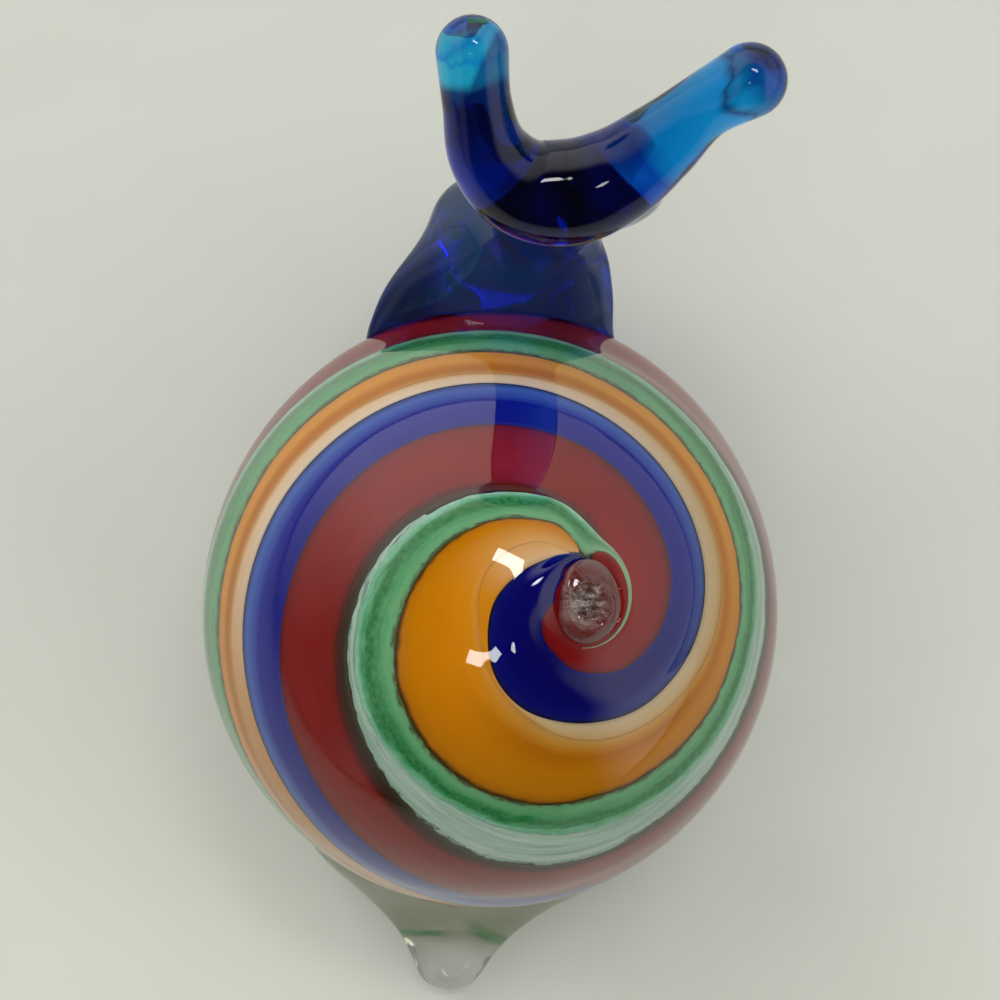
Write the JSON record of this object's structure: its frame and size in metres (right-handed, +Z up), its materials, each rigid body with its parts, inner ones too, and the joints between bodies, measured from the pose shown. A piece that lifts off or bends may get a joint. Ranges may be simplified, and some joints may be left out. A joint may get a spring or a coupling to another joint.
{
  "type": "snail figurine",
  "caption": "Hand-worked glass snail ornament: hollow swirl-striped shell on a clear foot with a drawn tail, cobalt neck and a bent cobalt bar for head and horns.",
  "frame": {"origin": "on the table, straight under the centre of the shell", "axes": "+Z up, head towards -Y, tail towards +Y, the swirl's centre leans towards -X"},
  "size_m": [0.08, 0.1227, 0.128],
  "materials": {
    "core_glass": "clear blown glass",
    "red_glass": "opaque ruby glass under a clear gather",
    "blue_glass": "cobalt glass, paler at the outer edge",
    "white_glass": "opaque cream glass",
    "orange_glass": "opaque amber glass",
    "green_glass": "streaky emerald and mint glass",
    "aqua_glass": "pale crushed aqua glass",
    "smoke_glass": "dark clear glass",
    "clear_glass": "fire-polished clear glass",
    "nub_glass": "clear glass, twisted off",
    "foot_glass": "fire-polished clear glass, faint green-grey",
    "neck_glass": "transparent cobalt glass",
    "head_glass": "transparent cobalt glass, cyan where thin"
  },
  "bodies": {
    "root": {"shell_core": "core_glass", "red_cane": "red_glass", "blue_cane": "blue_glass", "white_cane": "white_glass", "orange_cane": "orange_glass", "green_cane": "green_glass", "aqua_cane": "aqua_glass", "clear_cane": "smoke_glass", "shell_casing": "clear_glass", "apex_nub": "nub_glass", "foot_tail": "foot_glass", "neck": "neck_glass", "head_horns": "head_glass"}
  },
  "joints": []
}
